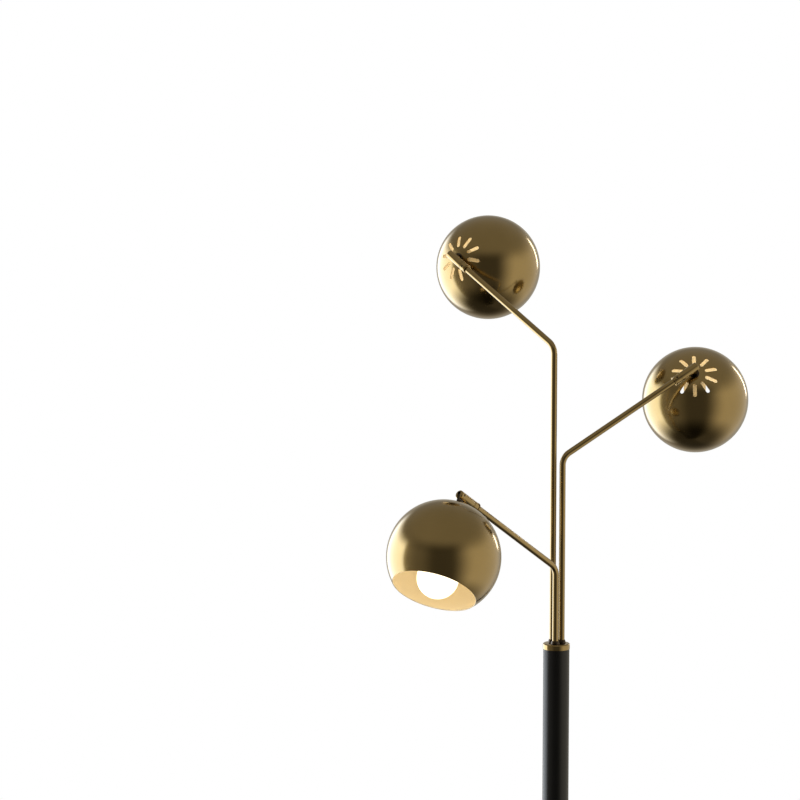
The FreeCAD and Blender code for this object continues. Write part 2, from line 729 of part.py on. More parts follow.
# ---------------------------------------------------------------------------------------------------------
# Knuckles: a slotted sleeve that swivels on the ring, a cross pin, and the tongue that tilts on it.
# ---------------------------------------------------------------------------------------------------------
def make_knuckle(arm):
    sleeve = turned(f"swivel_sleeve_{arm}", [
        (None, "0"),
        ("sleeve_radius - sleeve_chamfer", "0"),
        ("sleeve_radius", "sleeve_chamfer"),
        ("sleeve_radius", "sleeve_length"),
        ("sleeve_bore_radius", "sleeve_length"),
        ("sleeve_bore_radius", "slot_depth - sleeve_chamfer"),
        (None, "slot_depth - sleeve_chamfer"),
    ])
    cut(sleeve, "tongue_slot", "XZ_Plane", rectangle("slot_roof - sleeve_radius", "2 * sleeve_radius",
                                                     "-sleeve_chamfer", "slot_depth"), "slot_width")
    cut(sleeve, "pin_hole", "XZ_Plane", circle("pin_radius + fixed_clearance", None, "pin_setback"),
        "4 * sleeve_radius")
    keep(f"swivel_sleeve_{arm}", sleeve, knuckle_frame(arm))
    across = FreeCAD.Placement(FreeCAD.Vector(0, -size("pin_length") / 2, 0),
                               FreeCAD.Rotation(FreeCAD.Vector(1, 0, 0), -90))
    keep(f"tilt_pin_{arm}", cylinder(f"tilt_pin_{arm}", "pin_radius", "pin_length"),
         shade_frame(arm).multiply(across))

    tongue = turned(f"tilt_tongue_{arm}", [
        (None, "neck_start"),
        ("neck_radius", "neck_start"),
        ("neck_radius", "washer_foot"),
        ("stud_radius", "washer_foot"),
        ("stud_radius", "stud_end"),
        ("neck_bore_radius", "stud_end"),
        ("neck_bore_radius", "neck_start + neck_bore_end"),
        (None, "neck_start + neck_bore_end"),
    ])
    blade = new_sketch(tongue, "blade_sketch", "XZ_Plane")
    tongue_blade(blade)
    pad = tongue.newObject("PartDesign::Pad", "blade")
    pad.Profile = blade
    pad.SideType = "Symmetric"
    pad.setExpression("Length", linked("tongue_thickness"))
    cut(tongue, "tongue_hole", "XZ_Plane", circle("pin_radius + running_clearance"), "2 * neck_radius")
    keep(f"tilt_tongue_{arm}", tongue, shade_frame(arm))


def tongue_blade(sketch):
    """A flat blade: round about the hinge pin, straight-sided down into the neck."""
    radius, foot = size("tongue_head_radius"), size("neck_start") + size("tongue_root")
    head = Part.Circle(FreeCAD.Vector(0, 0, 0), FreeCAD.Vector(0, 0, 1), radius)
    sketch.addGeometry(Part.ArcOfCircle(head, math.pi, math.tau))
    left, right = FreeCAD.Vector(-radius, 0, 0), FreeCAD.Vector(radius, 0, 0)
    low_left, low_right = FreeCAD.Vector(-radius, foot, 0), FreeCAD.Vector(radius, foot, 0)
    sketch.addGeometry(Part.LineSegment(right, low_right))
    sketch.addGeometry(Part.LineSegment(low_right, low_left))
    sketch.addGeometry(Part.LineSegment(low_left, left))
    sketch.addConstraint(Sketcher.Constraint("Coincident", 0, 2, 1, 1))
    sketch.addConstraint(Sketcher.Constraint("Coincident", 1, 2, 2, 1))
    sketch.addConstraint(Sketcher.Constraint("Coincident", 2, 2, 3, 1))
    sketch.addConstraint(Sketcher.Constraint("Coincident", 3, 2, 0, 1))
    sketch.addConstraint(Sketcher.Constraint("Coincident", 0, 3, -1, 1))
    sketch.addConstraint(Sketcher.Constraint("Vertical", 1))
    sketch.addConstraint(Sketcher.Constraint("Vertical", 3))
    sketch.addConstraint(Sketcher.Constraint("Horizontal", 2))
    sketch.addConstraint(Sketcher.Constraint("PointOnObject", 0, 2, -1))
    fix(sketch, "Radius", "tongue_head_radius", radius, 0)
    fix(sketch, "DistanceY", "neck_start + tongue_root", foot, -1, 1, 1, 2)


# ---------------------------------------------------------------------------------------------------------
# Heads: a spun ball shade on the tongue's hollow stud, clamped by a nut, with its socket and bulb.
# ---------------------------------------------------------------------------------------------------------
def make_head(arm):
    head = shade_frame(arm)
    stud_hole = "stud_radius + fixed_clearance"
    keep(f"crown_washer_{arm}", turned(f"crown_washer_{arm}", [
        (stud_hole, "washer_foot"),
        ("washer_radius", "washer_foot"),
        ("washer_radius", "crown_height"),
        (stud_hole, "crown_height"),
    ]), head)
    keep(f"shade_{arm}", make_shade(arm), head.multiply(spun(size(f"{arm}_vent_turn"))))
    nut = hexagon(f"crown_nut_hexagon_{arm}", "crown_nut_radius", "crown_nut_thickness")
    nut_bore = cylinder(f"crown_nut_bore_{arm}", stud_hole, "crown_nut_thickness")
    keep(f"crown_nut_{arm}", stacked(f"crown_nut_{arm}", "Part::Cut", (nut, nut_bore)),
         head.multiply(lift(size("crown_inside"))))
    cavity = "screw_shell_radius + fixed_clearance"
    cavity_floor = "screw_shell_foot - fixed_clearance"
    keep(f"socket_body_{arm}", turned(f"socket_body_{arm}", [
        (stud_hole, "socket_foot"),
        ("socket_radius", "socket_foot"),
        ("socket_radius", "socket_lip"),
        (cavity, "socket_lip"),
        (cavity, cavity_floor),
        (None, cavity_floor),
        (None, "stud_end + socket_stud_room"),
        (stud_hole, "stud_end + socket_stud_room"),
    ]), head)
    shell_inside = "screw_shell_radius - screw_shell_wall"
    keep(f"screw_shell_{arm}", turned(f"screw_shell_{arm}", [
        (None, "screw_shell_foot"),
        ("screw_shell_radius", "screw_shell_foot"),
        ("screw_shell_radius", "screw_shell_foot + screw_shell_length"),
        (shell_inside, "screw_shell_foot + screw_shell_length"),
        (shell_inside, "screw_shell_foot + screw_shell_floor"),
        (None, "screw_shell_foot + screw_shell_floor"),
    ]), head)
    keep(f"bulb_cap_{arm}", turned(f"bulb_cap_{arm}", [
        (None, "cap_foot"),
        ("cap_contact_radius", "cap_foot"),
        ("cap_radius", "cap_foot + cap_taper"),
        ("cap_radius", "cap_top"),
        (None, "cap_top"),
    ]), head)
    keep(f"bulb_globe_{arm}", make_globe(arm), head)


def on_sphere(radius, offset):
    """Half chord of a sphere at an offset from its centre."""
    return math.sqrt(radius**2 - offset**2)


def ball_arc(sketch, radius, centre, start, end):
    """An arc of a ball's outline about a centre on the Z axis, anticlockwise from start to end."""
    whole = Part.Circle(FreeCAD.Vector(0, centre, 0), FreeCAD.Vector(0, 0, 1), radius)
    angles = [math.atan2(point[1] - centre, point[0]) for point in (start, end)]
    return sketch.addGeometry(Part.ArcOfCircle(whole, *angles))


def make_shade(arm):
    """A spun ball with a flat at the crown, a hole for the stud, an open end and a ring of vent slots."""
    body = document.addObject("PartDesign::Body", f"shade_{arm}")
    sketch = new_sketch(body, f"shade_section_{arm}", "XZ_Plane")
    centre, opening, flat = size("shade_centre"), size("opening_height"), size("crown_flat_radius")
    outer, inner = size("shade_radius"), size("shade_radius") - size("shade_wall")
    hole = size("stud_radius") + size("fixed_clearance")
    depth = size("shade_opening_depth")
    outer_crown, outer_rim = (flat, size("crown_height")), (on_sphere(outer, depth), opening)
    inner_crown, inner_rim = (flat, size("crown_inside")), (on_sphere(inner, depth), opening)
    outside = ball_arc(sketch, outer, centre, outer_crown, outer_rim)
    inside = ball_arc(sketch, inner, centre, inner_crown, inner_rim)
    corners = [outer_rim, inner_rim], [inner_crown, (hole, inner_crown[1])]
    corners += [(hole, inner_crown[1]), (hole, outer_crown[1])], [(hole, outer_crown[1]), outer_crown]
    rim, top, bore, flat_edge = [
        sketch.addGeometry(Part.LineSegment(FreeCAD.Vector(*a, 0), FreeCAD.Vector(*b, 0))) for a, b in corners
    ]
    joins = [(outside, 2, rim, 1), (rim, 2, inside, 2), (inside, 1, top, 1), (top, 2, bore, 1),
             (bore, 2, flat_edge, 1), (flat_edge, 2, outside, 1), (outside, 3, inside, 3)]
    for join in joins:
        sketch.addConstraint(Sketcher.Constraint("Coincident", *join))
    for level in (rim, top, flat_edge):
        sketch.addConstraint(Sketcher.Constraint("Horizontal", level))
    sketch.addConstraint(Sketcher.Constraint("Vertical", bore))
    fix_point(sketch, outside, 3, None, "shade_centre")
    fix(sketch, "Radius", "shade_radius", outer, outside)
    fix(sketch, "Radius", "shade_radius - shade_wall", inner, inside)
    fix(sketch, "DistanceX", "crown_flat_radius", flat, -1, 1, outside, 1)
    fix(sketch, "DistanceX", "crown_flat_radius", flat, -1, 1, inside, 1)
    fix(sketch, "DistanceX", "stud_radius + fixed_clearance", hole, -1, 1, bore, 1)
    fix(sketch, "DistanceY", "opening_height", opening, -1, 1, outside, 2)
    revolve(body, sketch, body.Name)
    vent = cut(body, f"vent_{arm}", "XY_Plane", vent_slot, "shade_centre", "One side", towards_normal=True)
    patterned(body, vent, f"vents_{arm}", int(size("vent_count")))
    return body


def vent_slot(sketch):
    """A round-ended slot along X, seen down the shade's axis."""
    half = size("vent_width") / 2
    near, far = size("vent_start_radius") + half, size("vent_end_radius") - half
    up = FreeCAD.Vector(0, 0, 1)
    low_end = Part.Circle(FreeCAD.Vector(near, 0, 0), up, half)
    high_end = Part.Circle(FreeCAD.Vector(far, 0, 0), up, half)
    sketch.addGeometry(Part.ArcOfCircle(low_end, math.pi / 2, math.pi * 3 / 2))
    sketch.addGeometry(Part.LineSegment(FreeCAD.Vector(near, -half, 0), FreeCAD.Vector(far, -half, 0)))
    sketch.addGeometry(Part.ArcOfCircle(high_end, -math.pi / 2, math.pi / 2))
    sketch.addGeometry(Part.LineSegment(FreeCAD.Vector(far, half, 0), FreeCAD.Vector(near, half, 0)))
    for join in ((0, 2, 1, 1), (1, 2, 2, 1), (2, 2, 3, 1), (3, 2, 0, 1)):
        sketch.addConstraint(Sketcher.Constraint("Tangent", *join))
    sketch.addConstraint(Sketcher.Constraint("PointOnObject", 0, 3, -1))
    sketch.addConstraint(Sketcher.Constraint("PointOnObject", 2, 3, -1))
    fix(sketch, "Radius", "vent_width / 2", half, 0)
    fix(sketch, "DistanceX", "vent_start_radius + vent_width / 2", near, -1, 1, 0, 3)
    fix(sketch, "DistanceX", "vent_end_radius - vent_width / 2", far, -1, 1, 2, 3)


def make_globe(arm):
    """The bulb's glass: a ball that narrows straight to its neck, open where the cap closes it."""
    body = document.addObject("PartDesign::Body", f"bulb_globe_{arm}")
    sketch = new_sketch(body, f"bulb_section_{arm}", "XZ_Plane")
    centre, neck, foot = size("bulb_centre"), size("neck_height"), size("cap_top")
    walls = []
    for radius, neck_radius in (
        (size("bulb_radius"), size("bulb_neck_radius")),
        (size("bulb_radius") - size("bulb_glass"), size("bulb_neck_radius") - size("bulb_glass")),
    ):
        reach = math.hypot(neck_radius, centre - neck)
        angle = math.atan2(neck - centre, neck_radius) + math.acos(radius / reach)
        touch = (radius * math.cos(angle), centre + radius * math.sin(angle))
        arc = ball_arc(sketch, radius, centre, touch, (0, centre + radius))
        shoulder = FreeCAD.Vector(neck_radius, neck, 0)
        cone = sketch.addGeometry(Part.LineSegment(shoulder, FreeCAD.Vector(*touch, 0)))
        stem = sketch.addGeometry(Part.LineSegment(FreeCAD.Vector(neck_radius, foot, 0), shoulder))
        sketch.addConstraint(Sketcher.Constraint("Tangent", cone, 2, arc, 1))
        sketch.addConstraint(Sketcher.Constraint("Coincident", stem, 2, cone, 1))
        sketch.addConstraint(Sketcher.Constraint("Vertical", stem))
        sketch.addConstraint(Sketcher.Constraint("PointOnObject", arc, 2, -2))
        walls.append((arc, cone, stem, radius, neck_radius))
    (arc, cone, stem, radius, neck_radius), (inner_arc, inner_cone, inner_stem, *_) = walls
    tip = sketch.addGeometry(Part.LineSegment(FreeCAD.Vector(0, centre + radius, 0),
                                              FreeCAD.Vector(0, centre + radius - size("bulb_glass"), 0)))
    rim = sketch.addGeometry(Part.LineSegment(FreeCAD.Vector(neck_radius - size("bulb_glass"), foot, 0),
                                              FreeCAD.Vector(neck_radius, foot, 0)))
    joins = [(arc, 2, tip, 1), (tip, 2, inner_arc, 2), (inner_stem, 1, rim, 1), (rim, 2, stem, 1),
             (arc, 3, inner_arc, 3)]
    for join in joins:
        sketch.addConstraint(Sketcher.Constraint("Coincident", *join))
    sketch.addConstraint(Sketcher.Constraint("Horizontal", rim))
    sketch.addConstraint(Sketcher.Constraint("Horizontal", cone, 1, inner_cone, 1))
    fix_point(sketch, arc, 3, None, "bulb_centre")
    fix(sketch, "Radius", "bulb_radius", radius, arc)
    fix(sketch, "Radius", "bulb_radius - bulb_glass", radius - size("bulb_glass"), inner_arc)
    fix(sketch, "DistanceX", "bulb_neck_radius", neck_radius, -1, 1, stem, 1)
    fix(sketch, "DistanceX", "bulb_neck_radius - bulb_glass", neck_radius, -1, 1, inner_stem, 1)
    fix(sketch, "DistanceY", "neck_height", neck, -1, 1, cone, 1)
    fix(sketch, "DistanceY", "cap_top", foot, -1, 1, stem, 1)
    revolve(body, sketch, body.Name)
    return body


def hand_over():
    """Recomputes, places every piece, tests it and writes its STEP file."""
    document.recompute()
    for piece, placement in pieces.values():
        piece.Placement = placement
    document.recompute()
    for item in document.Objects:
        if "Invalid" in item.State or "Error" in item.State:
            raise RuntimeError(f"{item.Label} failed: {item.State}")
    os.makedirs("parts", exist_ok=True)
    for node, (piece, _) in pieces.items():
        if piece.Shape.isNull() or not piece.Shape.isValid() or not piece.Shape.Solids:
            raise RuntimeError(f"{node} is not a valid solid")
        piece.Shape.exportStep(f"parts/{node}.step")


make_base()
make_pole()
make_top_collar()
make_switch()
for name in ARMS:
    make_arm(name)
    make_knuckle(name)
    make_head(name)
hand_over()
print(len(pieces), "pieces")
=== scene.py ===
"""Looks of the tree floor lamp: three brass stems on a black pole, each with a ball shade on a knuckle.

Metres, +Z up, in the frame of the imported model. The script runs from top to bottom, in the order in which
the lamp is put together.
"""
import json
import math

import bpy
from mathutils import Matrix, Vector

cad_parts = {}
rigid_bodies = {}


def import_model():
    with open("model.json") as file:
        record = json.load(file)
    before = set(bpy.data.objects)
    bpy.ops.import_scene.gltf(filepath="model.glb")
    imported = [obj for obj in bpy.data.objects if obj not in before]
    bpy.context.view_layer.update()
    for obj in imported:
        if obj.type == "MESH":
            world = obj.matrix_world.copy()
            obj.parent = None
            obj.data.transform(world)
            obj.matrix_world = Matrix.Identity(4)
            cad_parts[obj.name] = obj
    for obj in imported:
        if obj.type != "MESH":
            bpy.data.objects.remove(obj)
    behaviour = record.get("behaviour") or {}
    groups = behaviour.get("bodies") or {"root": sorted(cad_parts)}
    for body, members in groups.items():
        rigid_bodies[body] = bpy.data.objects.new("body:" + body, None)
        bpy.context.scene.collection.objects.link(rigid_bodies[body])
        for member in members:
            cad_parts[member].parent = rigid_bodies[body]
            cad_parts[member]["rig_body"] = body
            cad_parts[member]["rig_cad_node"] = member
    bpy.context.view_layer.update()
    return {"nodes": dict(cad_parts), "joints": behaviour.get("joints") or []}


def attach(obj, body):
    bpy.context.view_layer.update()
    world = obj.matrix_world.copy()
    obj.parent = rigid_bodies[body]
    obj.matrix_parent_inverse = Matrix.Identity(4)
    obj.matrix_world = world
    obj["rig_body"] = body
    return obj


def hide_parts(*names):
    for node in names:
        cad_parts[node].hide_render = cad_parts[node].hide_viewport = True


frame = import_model()
MM = 0.001


# ---------------------------------------------------------------------------------------------------------
# Camera: at eye height, 3.7 m in front of the lamp and a little to its left, looking slightly down, with a
# long lens. It comes first because everything is compared through it.
# ---------------------------------------------------------------------------------------------------------
CAMERA_PLACE = (-238.06 * MM, -3662.26 * MM, 1747.26 * MM)
CAMERA_PITCH = math.radians(5.73)
SENSOR_WIDTH = 36.0
FOCAL_PIXELS = 2442.17
PICTURE_PIXELS = 800

camera = bpy.data.objects.new("camera", bpy.data.cameras.new("camera"))
bpy.context.scene.collection.objects.link(camera)
camera.location = CAMERA_PLACE
camera.rotation_euler = (math.pi / 2 - CAMERA_PITCH, 0.0, 0.0)
camera.data.sensor_width = SENSOR_WIDTH
camera.data.lens = SENSOR_WIDTH * FOCAL_PIXELS / PICTURE_PIXELS
camera.data.clip_start = 0.05
camera.data.clip_end = 60.0
bpy.context.scene.camera = camera
bpy.context.scene.view_settings.view_transform = "Standard"


# ---------------------------------------------------------------------------------------------------------
# Base: a cast-iron weight on a foam pad, hidden under a spun steel cover. The cover is powder coated satin
# black, like the pole: an even, slightly pebbled film that softens every reflection.
# ---------------------------------------------------------------------------------------------------------
def linear(hex_code):
    """A colour written as sRGB hex, as the linear numbers that a socket takes."""
    channels = [int(hex_code[i:i + 2], 16) / 255 for i in (1, 3, 5)]
    return [c / 12.92 if c <= 0.04045 else ((c + 0.055) / 1.055) ** 2.4 for c in channels] + [1.0]


def add_node(tree, kind, inputs=(), **settings):
    """Adds a node. inputs pairs a socket's name or number with a value, or with the socket that feeds it."""
    made = tree.nodes.new(kind)
    for name, value in settings.items():
        setattr(made, name, value)
    for socket, value in inputs:
        if isinstance(value, bpy.types.NodeSocket):
            tree.links.new(value, made.inputs[socket])
        else:
            made.inputs[socket].default_value = value
    return made


def new_material(name):
    """An empty material, as its tree and the node that its shader goes into."""
    material = bpy.data.materials.new(name)
    material.use_nodes = True
    material.node_tree.nodes.clear()
    return material, material.node_tree, material.node_tree.nodes.new("ShaderNodeOutputMaterial")


def finish_with(piece, *materials):
    """Gives a piece, or a CAD node, these materials and no others."""
    piece.data.materials.clear()
    for material in materials:
        piece.data.materials.append(material)


# Polyester powder coat, sprayed and baked: pebbles about 1.2 mm across, with a few rubbed, shinier places.
POWDER_PEBBLE = 1.2 * MM
POWDER_RUBBED_PATCH = 111.1 * MM
POWDER_BLACK, POWDER_WORN = "#060607", "#0F0F11"

powder_coat, tree, output = new_material("satin_black_powder_coat")
place = add_node(tree, "ShaderNodeTexCoord").outputs["Object"]
pebbles = add_node(tree, "ShaderNodeTexNoise", [
    ("Vector", place), ("Scale", 1 / POWDER_PEBBLE), ("Detail", 2.0)])
rubbing = add_node(tree, "ShaderNodeTexNoise", [
    ("Vector", place), ("Scale", 1 / POWDER_RUBBED_PATCH), ("Detail", 4.0)])
colour = add_node(tree, "ShaderNodeMix", [
    ("Factor", rubbing.outputs["Fac"]), (6, linear(POWDER_BLACK)), (7, linear(POWDER_WORN))],
    data_type="RGBA")
roughness = add_node(tree, "ShaderNodeMapRange", [
    ("Value", rubbing.outputs["Fac"]), ("From Min", 0.3), ("From Max", 0.7),
    ("To Min", 0.28), ("To Max", 0.35)])
bump = add_node(tree, "ShaderNodeBump", [
    ("Height", pebbles.outputs["Fac"]), ("Strength", 0.25), ("Distance", 0.04 * MM)])
shader = add_node(tree, "ShaderNodeBsdfPrincipled", [
    ("Base Color", colour.outputs[2]), ("Roughness", roughness.outputs["Result"]), ("IOR", 1.5),
    ("Normal", bump.outputs["Normal"])])
tree.links.new(shader.outputs["BSDF"], output.inputs["Surface"])

# Closed-cell foam sheet, die cut: matt, with pores.
pad_foam, tree, output = new_material("black_eva_foam")
place = add_node(tree, "ShaderNodeTexCoord").outputs["Object"]
pores = add_node(tree, "ShaderNodeTexVoronoi", [("Vector", place), ("Scale", 1 / (0.8 * MM))])
bump = add_node(tree, "ShaderNodeBump", [("Height", pores.outputs["Distance"]), ("Strength", 0.5),
                                        ("Distance", 0.15 * MM)])
colour = add_node(tree, "ShaderNodeMix", [
    ("Factor", pores.outputs["Distance"]), (6, linear("#0E0E0E")), (7, linear("#1E1E1E"))], data_type="RGBA")
shader = add_node(tree, "ShaderNodeBsdfPrincipled", [
    ("Base Color", colour.outputs[2]), ("Roughness", 0.9), ("IOR", 1.45), ("Normal", bump.outputs["Normal"])])
tree.links.new(shader.outputs["BSDF"], output.inputs["Surface"])

# Grey cast iron, sand cast and dipped: coarse grain and dull.
cast_iron, tree, output = new_material("grey_cast_iron")
place = add_node(tree, "ShaderNodeTexCoord").outputs["Object"]
sand = add_node(tree, "ShaderNodeTexNoise", [("Vector", place), ("Scale", 1 / (1.5 * MM)), ("Detail", 5.0)])
bump = add_node(tree, "ShaderNodeBump", [("Height", sand.outputs["Fac"]), ("Strength", 0.6),
                                        ("Distance", 0.3 * MM)])
colour = add_node(tree, "ShaderNodeMix", [
    ("Factor", sand.outputs["Fac"]), (6, linear("#1B1B1C")), (7, linear("#38383A"))], data_type="RGBA")
shader = add_node(tree, "ShaderNodeBsdfPrincipled", [
    ("Base Color", colour.outputs[2]), ("Roughness", 0.75), ("Metallic", 0.6),
    ("Normal", bump.outputs["Normal"])])
tree.links.new(shader.outputs["BSDF"], output.inputs["Surface"])

# Zinc-plated steel, for the fasteners: bright, with the faint cloudiness of the plating.
zinc_steel, tree, output = new_material("zinc_plated_steel")
place = add_node(tree, "ShaderNodeTexCoord").outputs["Object"]
clouds = add_node(tree, "ShaderNodeTexNoise", [("Vector", place), ("Scale", 1 / (3 * MM)), ("Detail", 3.0)])
colour = add_node(tree, "ShaderNodeMix", [
    ("Factor", clouds.outputs["Fac"]), (6, linear("#A9A8A4")), (7, linear("#C9C9C6"))], data_type="RGBA")
roughness = add_node(tree, "ShaderNodeMapRange", [
    ("Value", clouds.outputs["Fac"]), ("From Min", 0.3), ("From Max", 0.7),
    ("To Min", 0.28), ("To Max", 0.4)])
shader = add_node(tree, "ShaderNodeBsdfPrincipled", [
    ("Base Color", colour.outputs[2]), ("Roughness", roughness.outputs["Result"]), ("Metallic", 1.0)])
tree.links.new(shader.outputs["BSDF"], output.inputs["Surface"])

finish_with(frame["nodes"]["base_pad"], pad_foam)
finish_with(frame["nodes"]["base_weight"], cast_iron)
finish_with(frame["nodes"]["base_bolt"], zinc_steel)


def select_only(piece):
    """Deselects everything, then makes this object the selected and the active one."""
    bpy.ops.object.select_all(action="DESELECT")
    piece.select_set(True)
    bpy.context.view_layer.objects.active = piece


WELD_DISTANCE = 0.002 * MM
FLAT_ANGLE = math.radians(0.5)  # faces that turn less than this are one face of the CAD solid
EDGE_ANGLE = math.radians(25)  # an edge sharper than this gets a round
ROUND_SEGMENTS = 2


def softened(node, body, edge):
    """A copy of a CAD node whose sharp edges get a small round, to stand for the node on its body."""
    cad = frame["nodes"][node]
    select_only(cad)
    bpy.ops.object.duplicate()
    piece = bpy.context.active_object
    piece.name = piece.data.name = f"{node}_finished"
    piece.parent = None
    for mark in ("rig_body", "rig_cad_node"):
        del piece[mark]
    bpy.ops.object.mode_set(mode="EDIT")
    bpy.ops.mesh.select_all(action="SELECT")
    bpy.ops.mesh.remove_doubles(threshold=WELD_DISTANCE)
    bpy.ops.mesh.dissolve_limited(angle_limit=FLAT_ANGLE)
    bpy.ops.object.mode_set(mode="OBJECT")
    rounding = piece.modifiers.new("rounding", "BEVEL")
    rounding.width = edge
    rounding.segments = ROUND_SEGMENTS
    rounding.limit_method = "ANGLE"
    rounding.angle_limit = EDGE_ANGLE
    bpy.ops.object.modifier_apply(modifier="rounding")
    bpy.ops.object.shade_smooth_by_angle(angle=EDGE_ANGLE)
    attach(piece, body)
    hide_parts(node)
    return piece


for node in ("base_cover", "foot_collar"):
    coated = softened(node, "root", 0.4 * MM)
    finish_with(coated, powder_coat)


# ---------------------------------------------------------------------------------------------------------
# Pole: two steel tubes screwed end to end over a coupler whose ring shows as a fine joint, powder coated
# with the base.
# ---------------------------------------------------------------------------------------------------------
for node in ("lower_pole", "pole_coupler", "upper_pole"):
    coated = softened(node, "root", 0.25 * MM)
    finish_with(coated, powder_coat)


# ---------------------------------------------------------------------------------------------------------
# Switch and wiring: a rotary switch inside the pole with a turned, blackened knob on its shaft, a rubber
# grommet where the cord enters near the foot, and the jacketed cable inside.
# ---------------------------------------------------------------------------------------------------------
# Black nickel over brass, polished: nearly black, with sharp reflections and a trace of brown.
black_nickel, tree, output = new_material("polished_black_nickel")
place = add_node(tree, "ShaderNodeTexCoord").outputs["Object"]
tarnish = add_node(tree, "ShaderNodeTexNoise", [("Vector", place), ("Scale", 1 / (4 * MM)), ("Detail", 4.0)])
colour = add_node(tree, "ShaderNodeMix", [
    ("Factor", tarnish.outputs["Fac"]), (6, linear("#3A322A")), (7, linear("#5C5248"))], data_type="RGBA")
roughness = add_node(tree, "ShaderNodeMapRange", [
    ("Value", tarnish.outputs["Fac"]), ("From Min", 0.3), ("From Max", 0.7),
    ("To Min", 0.14), ("To Max", 0.24)])
shader = add_node(tree, "ShaderNodeBsdfPrincipled", [
    ("Base Color", colour.outputs[2]), ("Roughness", roughness.outputs["Result"]), ("Metallic", 1.0)])
tree.links.new(shader.outputs["BSDF"], output.inputs["Surface"])

# Moulded phenolic and PVC: black and slightly glossy, with the faint orange peel of the mould.
moulded_black, tree, output = new_material("moulded_black_phenolic")
place = add_node(tree, "ShaderNodeTexCoord").outputs["Object"]
peel = add_node(tree, "ShaderNodeTexNoise", [("Vector", place), ("Scale", 1 / (0.7 * MM))])
bump = add_node(tree, "ShaderNodeBump", [("Height", peel.outputs["Fac"]), ("Strength", 0.2),
                                        ("Distance", 0.05 * MM)])
colour = add_node(tree, "ShaderNodeMix", [
    ("Factor", peel.outputs["Fac"]), (6, linear("#101010")), (7, linear("#1C1B1A"))], data_type="RGBA")
shader = add_node(tree, "ShaderNodeBsdfPrincipled", [
    ("Base Color", colour.outputs[2]), ("Roughness", 0.38), ("IOR", 1.5), ("Normal", bump.outputs["Normal"])])
tree.links.new(shader.outputs["BSDF"], output.inputs["Surface"])

knob = softened("switch_knob", "knob", 0.35 * MM)
finish_with(knob, black_nickel)
nut = softened("switch_nut", "root", 0.2 * MM)
finish_with(nut, zinc_steel)
grommet = softened("cord_grommet", "root", 0.5 * MM)
finish_with(grommet, moulded_black)
finish_with(frame["nodes"]["switch_body"], moulded_black)
finish_with(frame["nodes"]["pole_cable"], moulded_black)


# ---------------------------------------------------------------------------------------------------------
# Collar: a turned brass plug that closes the pole's top, with a bore for each stem, and a small flared
# ferrule of blackened brass round each stem where it leaves the collar.
# ---------------------------------------------------------------------------------------------------------
# Antique brass: brass plate, darkened, then relieved and lacquered. It shines softly, so a light shows as a
# cream line that fades into brown. Grain of a fine wheel, drawn at 3 mm so that it shows.
BRASS_LIGHT, BRASS_DARK = "#B0965E", "#9E854D"
WHEEL_GRAIN = 3.0 * MM
TONED_PATCH = 71.43 * MM

satin_brass, tree, output = new_material("satin_antique_brass")
place = add_node(tree, "ShaderNodeTexCoord").outputs["Object"]
toning = add_node(tree, "ShaderNodeTexNoise", [
    ("Vector", place), ("Scale", 1 / TONED_PATCH), ("Detail", 3.0)])
grain = add_node(tree, "ShaderNodeTexNoise", [("Vector", place), ("Scale", 1 / WHEEL_GRAIN), ("Detail", 2.0)])
colour = add_node(tree, "ShaderNodeMix", [
    ("Factor", toning.outputs["Fac"]), (6, linear(BRASS_DARK)), (7, linear(BRASS_LIGHT))], data_type="RGBA")
roughness = add_node(tree, "ShaderNodeMapRange", [
    ("Value", grain.outputs["Fac"]), ("From Min", 0.3), ("From Max", 0.7), ("To Min", 0.1), ("To Max", 0.13)])
shader = add_node(tree, "ShaderNodeBsdfPrincipled", [
    ("Base Color", colour.outputs[2]), ("Roughness", roughness.outputs["Result"]), ("Metallic", 1.0),
    ("Coat Weight", 1.0), ("Coat Roughness", 0.06)])
tree.links.new(shader.outputs["BSDF"], output.inputs["Surface"])

collar = softened("top_collar", "root", 0.3 * MM)
finish_with(collar, satin_brass)
ferrules = softened("ferrules", "root", 0.3 * MM)
finish_with(ferrules, black_nickel)


# ---------------------------------------------------------------------------------------------------------
# Arms: seamless brass-plated steel tubes, 9.5 mm across, bent once over a former, each with its wire inside
# and a retaining clip under the collar.
# ---------------------------------------------------------------------------------------------------------
ARMS = ("upper", "middle", "lower")
TUBE_RADIUS = 4.75 * MM
TUBE_SIDES = 40
BEND_STEPS = 14
BEND_RADIUS = 22.0 * MM
ARM_RISE = math.radians(31.9)
TUBE_FOOT = 970.0 * MM
BEND_HEIGHTS = {"upper": 1460.3 * MM, "middle": 1292.8 * MM, "lower": 1125.3 * MM}
TUBE_REACH = 219.15 * MM  # from the bend's corner to the end inside the swivel ring
TUBE_WELD = 0.01 * MM
TUBE_END_ANGLE = math.radians(40)  # the tube's ends stay sharp, its facets are smoothed
joint = {hinge["name"]: hinge for hinge in frame["joints"]}


